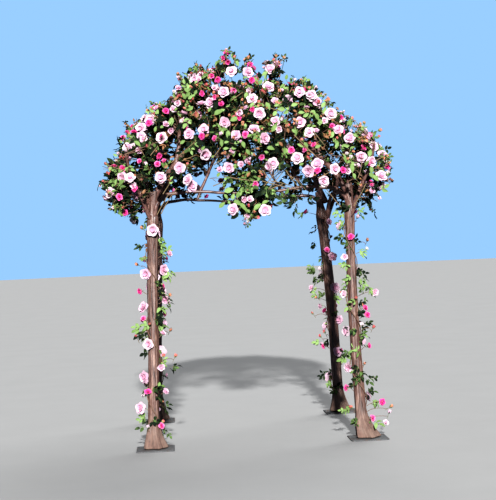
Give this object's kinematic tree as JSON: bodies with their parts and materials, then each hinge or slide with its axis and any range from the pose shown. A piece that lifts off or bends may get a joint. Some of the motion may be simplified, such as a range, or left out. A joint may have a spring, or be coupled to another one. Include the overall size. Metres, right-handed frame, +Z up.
{
  "type": "garden arch",
  "caption": "Open walk-through garden arch: bark-covered tree posts on thin plates, whose boughs carry a dome of artificial roses and leaves, with rose garlands round the posts.",
  "frame": {"origin": "on the ground, midway between the posts' feet", "axes": "+Z up; +Y away from the front, along the walk-through; +X to the right seen from the front"},
  "size_m": [2.5178, 2.5685, 3.4686],
  "materials": {
    "steel_plate": "weathered grey, slightly rusted",
    "bark": "reddish-brown bark with long streaks, grey-tan at the roots",
    "bough_bark": "dark red-brown thin bark",
    "petals": "silk-like petals, pale pink to hot pink",
    "leaves": "printed cloth leaves, yellow-green to deep green"
  },
  "bodies": {
    "root": {"foot_plate_front_left": "steel_plate", "foot_plate_front_right": "steel_plate", "foot_plate_back_left": "steel_plate", "foot_plate_back_right": "steel_plate", "trunk_front_left": "bark", "trunk_front_right": "bark", "trunk_back_left": "bark", "trunk_back_right": "bark", "span_bough_front_left": "bough_bark", "span_bough_front_right": "bough_bark", "span_bough_back_left": "bough_bark", "span_bough_back_right": "bough_bark", "side_bough_front_left": "bough_bark", "side_bough_front_right": "bough_bark", "side_bough_back_left": "bough_bark", "side_bough_back_right": "bough_bark", "crown_bough_front_left": "bough_bark", "crown_bough_front_right": "bough_bark", "crown_bough_back_left": "bough_bark", "crown_bough_back_right": "bough_bark", "outer_bough_front_left": "bough_bark", "outer_bough_front_right": "bough_bark", "outer_bough_back_left": "bough_bark", "outer_bough_back_right": "bough_bark", "garland_front_left": "petals", "garland_front_right": "petals", "garland_back_left": "petals", "garland_back_right": "petals", "corner_foliage_front_left": "leaves", "corner_foliage_front_right": "leaves", "corner_foliage_back_left": "leaves", "corner_foliage_back_right": "leaves", "crown_foliage_front_left": "leaves", "crown_foliage_front_right": "leaves", "crown_foliage_back_left": "leaves", "crown_foliage_back_right": "leaves", "front_hanging_cluster": "leaves", "back_hanging_cluster": "leaves", "front_foliage": "leaves", "back_foliage": "leaves", "left_foliage": "leaves", "right_foliage": "leaves", "crown_top_foliage": "leaves"}
  },
  "joints": []
}
